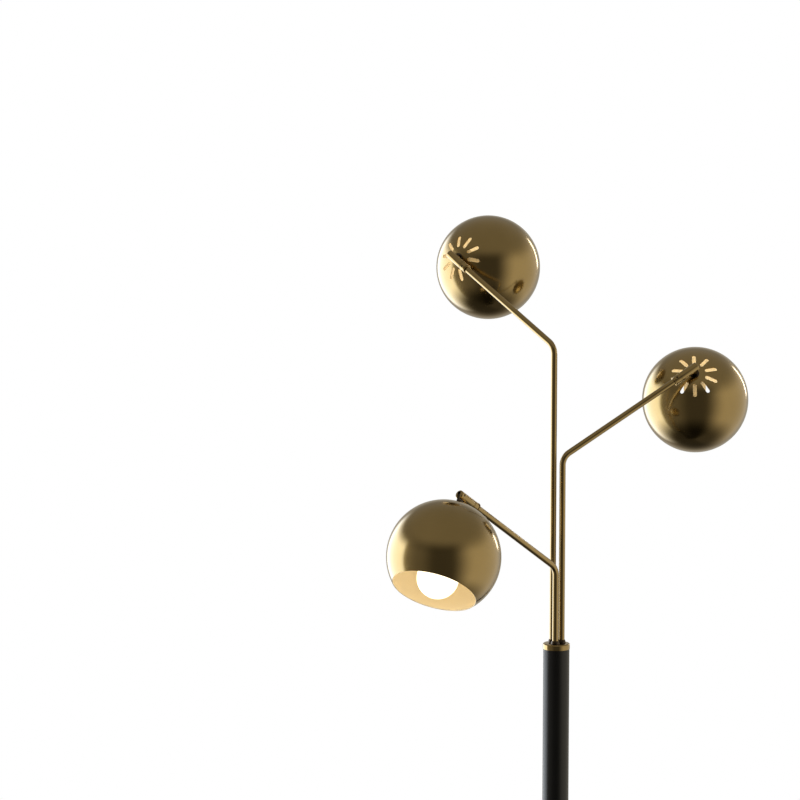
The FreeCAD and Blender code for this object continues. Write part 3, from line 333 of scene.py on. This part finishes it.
def arm_tube(arm):
    """A tube up the stem, round the bend and out along the arm, its place in its mesh."""
    stem = Vector(joint[f"turn_{arm}"]["pos_m"])
    along = Vector(joint[f"swivel_{arm}"]["axis"]).normalized()
    outwards = Vector((along.x, along.y, 0)).normalized()
    corner = Vector((stem.x, stem.y, BEND_HEIGHTS[arm]))
    turn = math.pi / 2 - ARM_RISE
    run = BEND_RADIUS * math.tan(turn / 2)
    bpy.ops.object.select_all(action="DESELECT")
    bpy.ops.mesh.primitive_circle_add(vertices=TUBE_SIDES, radius=TUBE_RADIUS,
                                      location=(stem.x, stem.y, TUBE_FOOT))
    tube = bpy.context.active_object
    tube.name = tube.data.name = f"arm_tube_{arm}_drawn"
    bpy.ops.object.transform_apply()
    bpy.ops.object.mode_set(mode="EDIT")
    bpy.ops.mesh.select_all(action="SELECT")
    bpy.ops.mesh.extrude_region_move(TRANSFORM_OT_translate={"value": (0, 0, corner.z - run - TUBE_FOOT)})
    centre = corner - Vector((0, 0, run)) + outwards * BEND_RADIUS
    bpy.ops.mesh.spin(steps=BEND_STEPS, angle=-turn, center=centre, axis=Vector((0, 0, 1)).cross(outwards))
    bpy.ops.mesh.extrude_region_move(TRANSFORM_OT_translate={"value": along * (TUBE_REACH - run)})
    bpy.ops.mesh.select_all(action="SELECT")
    bpy.ops.mesh.remove_doubles(threshold=TUBE_WELD)
    bpy.ops.mesh.normals_make_consistent(inside=False)
    bpy.ops.object.mode_set(mode="OBJECT")
    bpy.ops.object.shade_smooth_by_angle(angle=TUBE_END_ANGLE)
    return tube


for arm in ARMS:
    tube = arm_tube(arm)
    finish_with(tube, satin_brass)
    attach(tube, f"arm_{arm}")
    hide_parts(f"arm_tube_{arm}")
    finish_with(frame["nodes"][f"arm_wire_{arm}"], moulded_black)
    finish_with(frame["nodes"][f"stem_clip_{arm}"], zinc_steel)


# ---------------------------------------------------------------------------------------------------------
# Knuckles: a turned ring screwed to the arm's end, a slotted sleeve that swivels on it, and a blackened
# tongue that tilts in the slot on a cross pin.
# ---------------------------------------------------------------------------------------------------------
for arm in ARMS:
    for node, body, edge, finish, slot in (
        ("swivel_ring", "arm", 0.15, satin_brass, "brass_tube"),
        ("ring_screw", "arm", 0.1, black_nickel, "dark_metal"),
        ("swivel_sleeve", "swivel", 0.25, satin_brass, "brass_tube"),
        ("tilt_pin", "swivel", 0.1, black_nickel, "dark_metal"),
        ("tilt_tongue", "head", 0.3, black_nickel, "dark_metal"),
        ("crown_washer", "head", 0.25, black_nickel, "dark_metal"),
    ):
        piece = softened(f"{node}_{arm}", f"{body}_{arm}", edge * MM)
        finish_with(piece, finish)
    finish_with(frame["nodes"][f"crown_nut_{arm}"], zinc_steel)


# ---------------------------------------------------------------------------------------------------------
# Shades: steel discs spun into open balls, drilled and slotted round the crown, plated antique brass outside
# and painted warm white inside. The spinning leaves fine rings about the crown.
# ---------------------------------------------------------------------------------------------------------
SHADE_RADIUS = 82.5 * MM
SHADE_WALL = 1.0 * MM
SHADE_CENTRE = 100.3 * MM  # from the hinge pin
CROWN_FLAT = 8.4 * MM
STUD_HOLE = 4.25 * MM
OPENING_DEPTH = 54.9 * MM
VENT_COUNT = 10
VENT_START, VENT_END, VENT_WIDTH = 17.2 * MM, 36.2 * MM, 5.7 * MM
VENT_TURN = {"upper": 8.5, "middle": 17.5, "lower": 18.0}  # degrees about the shade's axis
SHADE_AIM = {"upper": (52.0, -12.6), "middle": (81.8, -34.6), "lower": (244.1, -53.6)}  # compass, height
BALL_SEGMENTS, BALL_RINGS = 144, 72
PUNCH_SIDES = 24
LEVEL_WITH = 0.01 * MM  # a point this near to the crown's height is on its edge
RIM_ANGLE = math.radians(35)


def aimed(azimuth, elevation):
    """The direction with this compass angle from +X and this height, in degrees."""
    turn, rise = math.radians(azimuth), math.radians(elevation)
    return Vector((math.cos(rise) * math.cos(turn), math.cos(rise) * math.sin(turn), math.sin(rise)))


def head_place(arm):
    """Where a head is: origin at its hinge pin, Z from crown to opening, Y along the pin."""
    axis = aimed(*SHADE_AIM[arm])
    across = Vector(joint[f"tilt_{arm}"]["axis"]).normalized()
    place = Matrix((across.cross(axis), across, axis)).transposed().to_4x4()
    place.translation = Vector(joint[f"tilt_{arm}"]["pos_m"])
    return place


def settle(piece, place):
    """Puts a piece at its place and moves that place into its mesh."""
    select_only(piece)
    piece.matrix_world = place
    bpy.ops.object.transform_apply(location=True, rotation=True, scale=True)


def vent_cutters(arm):
    """The punches for the vents: round-ended bars in a ring, standing in the shade's crown."""
    half = VENT_WIDTH / 2
    near, far = VENT_START + half, VENT_END - half
    bpy.ops.object.select_all(action="DESELECT")
    bpy.ops.mesh.primitive_cylinder_add(vertices=PUNCH_SIDES, radius=half, depth=SHADE_CENTRE,
                                        location=(near, 0, SHADE_CENTRE / 2),
                                        rotation=(0, 0, math.pi / PUNCH_SIDES))
    punch = bpy.context.active_object
    bpy.ops.object.transform_apply()
    bpy.ops.object.mode_set(mode="EDIT")
    bpy.ops.mesh.select_mode(type="VERT")
    bpy.ops.mesh.select_all(action="DESELECT")
    bpy.ops.object.mode_set(mode="OBJECT")
    for vertex in punch.data.vertices:
        vertex.select = vertex.co.x > near
    bpy.ops.object.mode_set(mode="EDIT")
    bpy.ops.transform.translate(value=(far - near, 0, 0))
    bpy.ops.object.mode_set(mode="OBJECT")
    for turn in range(1, VENT_COUNT):
        select_only(punch)
        bpy.ops.object.duplicate()
        copy = bpy.context.active_object
        copy.data.transform(Matrix.Rotation(math.tau * turn / VENT_COUNT, 4, "Z"))
        copy.name = f"punch_copy_{turn}"
    bpy.ops.object.select_pattern(pattern="punch_copy_*")
    bpy.context.view_layer.objects.active = punch
    punch.select_set(True)
    bpy.ops.object.join()
    punch.data.transform(Matrix.Rotation(math.radians(VENT_TURN[arm]), 4, "Z"))
    return punch


def ball_shade(arm):
    """Spins a ball about Z, trims its crown and its opening, thickens it inwards and punches its vents."""
    bpy.ops.object.select_all(action="DESELECT")
    bpy.ops.mesh.primitive_uv_sphere_add(segments=BALL_SEGMENTS, ring_count=BALL_RINGS, radius=SHADE_RADIUS,
                                         location=(0, 0, SHADE_CENTRE))
    shade = bpy.context.active_object
    shade.name = shade.data.name = f"shade_{arm}_spun"
    bpy.ops.object.transform_apply()
    crown = SHADE_CENTRE - math.sqrt(SHADE_RADIUS**2 - CROWN_FLAT**2)
    bpy.ops.object.mode_set(mode="EDIT")
    bpy.ops.mesh.select_all(action="SELECT")
    bpy.ops.mesh.bisect(plane_co=(0, 0, SHADE_CENTRE + OPENING_DEPTH), plane_no=(0, 0, 1), clear_outer=True)
    bpy.ops.mesh.select_all(action="SELECT")
    bpy.ops.mesh.bisect(plane_co=(0, 0, crown), plane_no=(0, 0, 1), clear_inner=True)
    bpy.ops.object.mode_set(mode="OBJECT")
    for edge in shade.data.edges:
        ends = [shade.data.vertices[v].co for v in edge.vertices]
        edge.select = all(abs(end.z - crown) < LEVEL_WITH for end in ends)
    for vertex in shade.data.vertices:
        vertex.select = abs(vertex.co.z - crown) < LEVEL_WITH
    bpy.ops.object.mode_set(mode="EDIT")
    bpy.ops.mesh.select_mode(type="EDGE")
    bpy.ops.mesh.extrude_edges_move()
    shrink = STUD_HOLE / CROWN_FLAT
    bpy.ops.transform.resize(value=(shrink, shrink, 1), center_override=(0, 0, crown))
    bpy.ops.mesh.select_mode(type="VERT")
    bpy.ops.object.mode_set(mode="OBJECT")
    wall = shade.modifiers.new("wall", "SOLIDIFY")
    wall.thickness = SHADE_WALL
    wall.offset = -1.0
    wall.use_even_offset = True
    wall.material_offset = 1
    wall.material_offset_rim = 1
    punch = vent_cutters(arm)
    finish_with(shade, spun_brass, white_paint)
    finish_with(punch, spun_brass)
    punching = shade.modifiers.new("punching", "BOOLEAN")
    punching.operation = "DIFFERENCE"
    punching.solver = "EXACT"
    punching.object = punch
    select_only(shade)
    bpy.ops.object.modifier_apply(modifier="wall")
    bpy.ops.object.modifier_apply(modifier="punching")
    bpy.data.objects.remove(punch)
    select_only(shade)
    bpy.ops.object.shade_smooth_by_angle(angle=RIM_ANGLE)
    return shade


# Spun steel, brass plated, darkened and lacquered. U of the ball's own map runs round the crown, and the
# brushing follows it, so each light is drawn out into a fan from the crown. Rings 0.6 mm apart, drawn wider
# than the real ones so that they show.
SPUN_LIGHT, SPUN_DARK = "#B0965E", "#9E854D"
SPUN_RING_PITCH = 0.6 * MM
SPUN_TONED_PATCH = 90.91 * MM
RINGS_PER_BALL = math.pi * SHADE_RADIUS / SPUN_RING_PITCH

spun_brass, tree, output = new_material("spun_antique_brass")
map_node = add_node(tree, "ShaderNodeUVMap", uv_map="UVMap")
split = add_node(tree, "ShaderNodeSeparateXYZ", [("Vector", map_node.outputs["UV"])])
place = add_node(tree, "ShaderNodeTexCoord").outputs["Object"]
ring_place = add_node(tree, "ShaderNodeMath", [(0, split.outputs["Y"]), (1, RINGS_PER_BALL)],
                      operation="MULTIPLY")
rings = add_node(tree, "ShaderNodeTexNoise", [("W", ring_place.outputs[0]), ("Scale", 1.0), ("Detail", 2.0)],
                 noise_dimensions="1D")
toning = add_node(tree, "ShaderNodeTexNoise", [
    ("Vector", place), ("Scale", 1 / SPUN_TONED_PATCH), ("Detail", 3.0)])
tone = add_node(tree, "ShaderNodeMath", [(0, rings.outputs["Fac"]), (1, toning.outputs["Fac"])],
                operation="MULTIPLY")
tone_range = add_node(tree, "ShaderNodeMapRange", [
    ("Value", tone.outputs[0]), ("From Min", 0.12), ("From Max", 0.4)])
colour = add_node(tree, "ShaderNodeMix", [
    ("Factor", tone_range.outputs["Result"]), (6, linear(SPUN_DARK)), (7, linear(SPUN_LIGHT))],
    data_type="RGBA")
roughness = add_node(tree, "ShaderNodeMapRange", [
    ("Value", rings.outputs["Fac"]), ("From Min", 0.3), ("From Max", 0.7),
    ("To Min", 0.15), ("To Max", 0.19)])
bump = add_node(tree, "ShaderNodeBump", [
    ("Height", rings.outputs["Fac"]), ("Strength", 0.05), ("Distance", 0.01 * MM)])
round_crown = add_node(tree, "ShaderNodeTangent", direction_type="UV_MAP", uv_map="UVMap")
shader = add_node(tree, "ShaderNodeBsdfPrincipled", [
    ("Base Color", colour.outputs[2]), ("Roughness", roughness.outputs["Result"]), ("Metallic", 1.0),
    ("Anisotropic", 0.6), ("Tangent", round_crown.outputs["Tangent"]), ("Normal", bump.outputs["Normal"]),
    ("Coat Weight", 1.0), ("Coat Roughness", 0.06)])
tree.links.new(shader.outputs["BSDF"], output.inputs["Surface"])

# Warm white stove enamel, sprayed inside: satin, with a faint orange peel 2 mm across.
white_paint, tree, output = new_material("warm_white_enamel")
place = add_node(tree, "ShaderNodeTexCoord").outputs["Object"]
peel = add_node(tree, "ShaderNodeTexNoise", [("Vector", place), ("Scale", 1 / (2 * MM)), ("Detail", 1.0)])
shading = add_node(tree, "ShaderNodeMix", [
    ("Factor", peel.outputs["Fac"]), (6, linear("#F1E4C8")), (7, linear("#F6EBD3"))], data_type="RGBA")
bump = add_node(tree, "ShaderNodeBump", [("Height", peel.outputs["Fac"]), ("Strength", 0.15),
                                        ("Distance", 0.06 * MM)])
shader = add_node(tree, "ShaderNodeBsdfPrincipled", [
    ("Base Color", shading.outputs[2]), ("Roughness", 0.5), ("IOR", 1.5), ("Normal", bump.outputs["Normal"])])
tree.links.new(shader.outputs["BSDF"], output.inputs["Surface"])

for arm in ARMS:
    shade = ball_shade(arm)
    settle(shade, head_place(arm))
    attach(shade, f"head_{arm}")
    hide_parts(f"shade_{arm}")


# ---------------------------------------------------------------------------------------------------------
# Sockets and bulbs: a porcelain socket on the hollow stud, its rolled screw shell, and a frosted bulb of
# 60 mm with a rolled cap. The bulb is lit: its glass glows warm white and lights the shade from inside.
# ---------------------------------------------------------------------------------------------------------
# Frosted glass, etched inside, glowing at 2700 K: white to the eye, warm where it falls on paint.
GLOW_COLOUR, GLOW_STRENGTH = "#FFEFCC", 1.95

frosted_bulb, tree, output = new_material("frosted_bulb_glass_lit")
place = add_node(tree, "ShaderNodeTexCoord").outputs["Object"]
frost = add_node(tree, "ShaderNodeTexNoise", [("Vector", place), ("Scale", 1 / (5 * MM)), ("Detail", 2.0)])
milk = add_node(tree, "ShaderNodeMix", [
    ("Factor", frost.outputs["Fac"]), (6, linear("#F4F0E6")), (7, linear("#FAF8F2"))], data_type="RGBA")
shader = add_node(tree, "ShaderNodeBsdfPrincipled", [
    ("Base Color", milk.outputs[2]), ("Roughness", 0.35), ("IOR", 1.5),
    ("Emission Color", linear(GLOW_COLOUR)), ("Emission Strength", GLOW_STRENGTH)])
tree.links.new(shader.outputs["BSDF"], output.inputs["Surface"])

# Glazed porcelain: white with a trace of cream, smooth, with a few pinholes in the glaze.
porcelain, tree, output = new_material("glazed_white_porcelain")
place = add_node(tree, "ShaderNodeTexCoord").outputs["Object"]
glaze = add_node(tree, "ShaderNodeTexNoise", [("Vector", place), ("Scale", 1 / (6 * MM)), ("Detail", 3.0)])
colour = add_node(tree, "ShaderNodeMix", [
    ("Factor", glaze.outputs["Fac"]), (6, linear("#CFC8BA")), (7, linear("#DCD6C9"))], data_type="RGBA")
bump = add_node(tree, "ShaderNodeBump", [("Height", glaze.outputs["Fac"]), ("Strength", 0.1),
                                        ("Distance", 0.1 * MM)])
shader = add_node(tree, "ShaderNodeBsdfPrincipled", [
    ("Base Color", colour.outputs[2]), ("Roughness", 0.16), ("IOR", 1.5), ("Normal", bump.outputs["Normal"])])
tree.links.new(shader.outputs["BSDF"], output.inputs["Surface"])

# Rolled aluminium, for the screw shell and the cap.
rolled_aluminium, tree, output = new_material("rolled_aluminium")
place = add_node(tree, "ShaderNodeTexCoord").outputs["Object"]
streaks = add_node(tree, "ShaderNodeTexNoise", [
    ("Vector", place), ("Scale", 1 / (1.5 * MM)), ("Detail", 3.0)])
colour = add_node(tree, "ShaderNodeMix", [
    ("Factor", streaks.outputs["Fac"]), (6, linear("#B9B6B0")), (7, linear("#D5D3CE"))], data_type="RGBA")
shader = add_node(tree, "ShaderNodeBsdfPrincipled", [
    ("Base Color", colour.outputs[2]), ("Roughness", 0.32), ("Metallic", 1.0)])
tree.links.new(shader.outputs["BSDF"], output.inputs["Surface"])

for arm in ARMS:
    socket = softened(f"socket_body_{arm}", f"head_{arm}", 0.6 * MM)
    finish_with(socket, porcelain)
    bulb = softened(f"bulb_globe_{arm}", f"head_{arm}", 0.05 * MM)
    finish_with(bulb, frosted_bulb)
    finish_with(frame["nodes"][f"screw_shell_{arm}"], rolled_aluminium)
    finish_with(frame["nodes"][f"bulb_cap_{arm}"], rolled_aluminium)


# ---------------------------------------------------------------------------------------------------------
# Studio: a pale floor, a softbox that casts the soft shadow, and a white room. The metal mirrors soft upright
# bands instead: a daylight window at the left, the dark behind the camera, a warm wall at the right and a
# narrow strip far behind it. None of it is part of the lamp.
# ---------------------------------------------------------------------------------------------------------
FLOOR_SIZE = 5.0
FADE_START, FADE_END = 1.0, 2.3  # how far out the paper fades into the white room
WHITE_NEAR, WHITE_FAR = 0.55, 1.0  # how much of the paper is plain white, the rest takes the shadow
bpy.ops.object.select_all(action="DESELECT")
bpy.ops.mesh.primitive_plane_add(size=FLOOR_SIZE, location=(0, 0, 0))
floor = bpy.context.active_object
floor.name = "studio_floor"
pale_floor, tree, output = new_material("pale_studio_floor")
paper = add_node(tree, "ShaderNodeBsdfDiffuse", [("Color", linear("#EDEDED"))])
seen = add_node(tree, "ShaderNodeLightPath")
place = add_node(tree, "ShaderNodeTexCoord").outputs["Object"]
away = add_node(tree, "ShaderNodeVectorMath", [("Vector", place)], operation="LENGTH")
fade = add_node(tree, "ShaderNodeMapRange", [
    ("Value", away.outputs["Value"]), ("From Min", FADE_START), ("From Max", FADE_END),
    ("To Min", WHITE_NEAR), ("To Max", WHITE_FAR)], interpolation_type="SMOOTHSTEP")
clear = add_node(tree, "ShaderNodeMath", [
    (0, seen.outputs["Is Camera Ray"]), (1, seen.outputs["Is Transmission Ray"])], operation="MAXIMUM")
whitening = add_node(tree, "ShaderNodeMath", [(0, fade.outputs["Result"]), (1, clear.outputs[0])],
                     operation="MULTIPLY")
white = add_node(tree, "ShaderNodeEmission", [("Color", (1, 1, 1, 1)), ("Strength", 1.0)])
faded = add_node(tree, "ShaderNodeMixShader", [("Fac", whitening.outputs[0]), (1, paper.outputs[0]),
                                               (2, white.outputs[0])])
unseen = add_node(tree, "ShaderNodeBsdfTransparent")  # the metal mirrors the room below in its place
mirrored = add_node(tree, "ShaderNodeMixShader", [
    ("Fac", seen.outputs["Is Glossy Ray"]), (1, faded.outputs[0]), (2, unseen.outputs[0])])
tree.links.new(mirrored.outputs[0], output.inputs["Surface"])
finish_with(floor, pale_floor)

world = bpy.data.worlds.new("studio_room")
bpy.context.scene.world = world
world.use_nodes = True
tree = world.node_tree
tree.nodes.clear()
facing = add_node(tree, "ShaderNodeTexCoord").outputs["Generated"]
axes = add_node(tree, "ShaderNodeSeparateXYZ", [("Vector", facing)])
front = add_node(tree, "ShaderNodeMath", [(0, axes.outputs["Y"]), (1, -1.0)], operation="MULTIPLY")
compass = add_node(tree, "ShaderNodeMath", [(0, axes.outputs["X"]), (1, front.outputs[0])],
                   operation="ARCTAN2")
turn = add_node(tree, "ShaderNodeMapRange", [
    ("Value", compass.outputs[0]), ("From Min", -math.pi), ("From Max", math.pi)])
height = add_node(tree, "ShaderNodeMapRange", [("Value", axes.outputs["Z"]), ("From Min", -1.0)])


def bands(place, stops):
    """Smooth bands along a place that runs from 0 to 1: stops pair a place with its level, up to 1."""
    made = add_node(tree, "ShaderNodeValToRGB", [("Fac", place)])
    ramp = made.color_ramp
    ramp.interpolation = "EASE"
    ramp.elements[0].position, ramp.elements[1].position = stops[0][0], stops[-1][0]
    for at, level in stops[1:-1]:
        ramp.elements.new(at)
    for element, (at, level) in zip(ramp.elements, stops):
        element.color = (level, level, level, 1.0)
    return made.outputs["Color"]


def lit(round_room, up_room, strength, colour):
    """A part of the room: its bands round the room times its bands up the room."""
    level = add_node(tree, "ShaderNodeMath", [(0, round_room), (1, up_room)], operation="MULTIPLY")
    scaled = add_node(tree, "ShaderNodeMath", [(0, level.outputs[0]), (1, strength)], operation="MULTIPLY")
    return add_node(tree, "ShaderNodeBackground", [
        ("Color", linear(colour)), ("Strength", scaled.outputs[0])])


# Round the room, 0 is behind the lamp, 0.25 the left, 0.5 the camera and 0.75 the right. Up the room, 0 is
# straight down, 0.5 the horizon and 1 straight up.
compass_turn, room_height = turn.outputs["Result"], height.outputs["Result"]
walls = bands(compass_turn, (
    (0.0, 0.4), (0.24, 0.36), (0.36, 0.2), (0.45, 0.08), (0.54, 0.08), (0.68, 0.72), (0.86, 0.7),
    (0.93, 0.4)))
walls_up = bands(room_height, ((0.03, 0.12), (0.25, 1.0), (0.6, 1.0), (0.85, 0.0)))
ceiling_up = bands(room_height, ((0.6, 0.0), (0.85, 1.0)))
window = bands(compass_turn, ((0.05, 0.0), (0.09, 1.0), (0.242, 1.0), (0.264, 0.0)))
window_up = bands(room_height, ((0.06, 0.0), (0.28, 1.0), (0.6, 1.0), (0.74, 0.0)))
strip = bands(compass_turn, ((0.883, 0.0), (0.889, 1.0), (0.893, 1.0), (0.899, 0.0)))
strip_up = bands(room_height, ((0.47, 0.0), (0.5, 1.0), (0.66, 1.0), (0.7, 0.0)))
mirrored_room = lit(walls, walls_up, 1.0, "#FFF6E2")
for source in (
    lit(ceiling_up, ceiling_up, 0.3, "#FFF6E2"),  # alike all round, and squared so that it starts gently
    lit(window, window_up, 2.5, "#EEF6FF"),
    lit(strip, strip_up, 7.0, "#FFF8EC"),
):
    mirrored_room = add_node(tree, "ShaderNodeAddShader", [
        (0, mirrored_room.outputs[0]), (1, source.outputs[0])])
white = add_node(tree, "ShaderNodeBackground", [("Color", (1, 1, 1, 1)), ("Strength", 1.0)])
seen = add_node(tree, "ShaderNodeLightPath")
clear = add_node(tree, "ShaderNodeMath", [
    (0, seen.outputs["Is Camera Ray"]), (1, seen.outputs["Is Transmission Ray"])], operation="MAXIMUM")
both = add_node(tree, "ShaderNodeMixShader", [("Fac", clear.outputs[0]), (1, mirrored_room.outputs[0]),
                                              (2, white.outputs[0])])
add_node(tree, "ShaderNodeOutputWorld", [("Surface", both.outputs[0])])

# The softbox, high at the left. The metal doesn't mirror it, since the window above stands for it there.
SOFTBOX_PLACE, SOFTBOX_TARGET = (-1.8, -0.6, 2.3), (0.0, 0.0, 0.8)
SOFTBOX_SIZE, SOFTBOX_WATTS = 1.4, 30.0
light = bpy.data.lights.new("softbox", "AREA")
light.shape = "SQUARE"
light.size = SOFTBOX_SIZE
light.energy = SOFTBOX_WATTS
softbox = bpy.data.objects.new("softbox", light)
bpy.context.scene.collection.objects.link(softbox)
softbox.location = SOFTBOX_PLACE
softbox.rotation_euler = (Vector(SOFTBOX_TARGET) - Vector(SOFTBOX_PLACE)).to_track_quat("-Z", "Y").to_euler()
softbox.visible_camera = False
softbox.visible_glossy = False
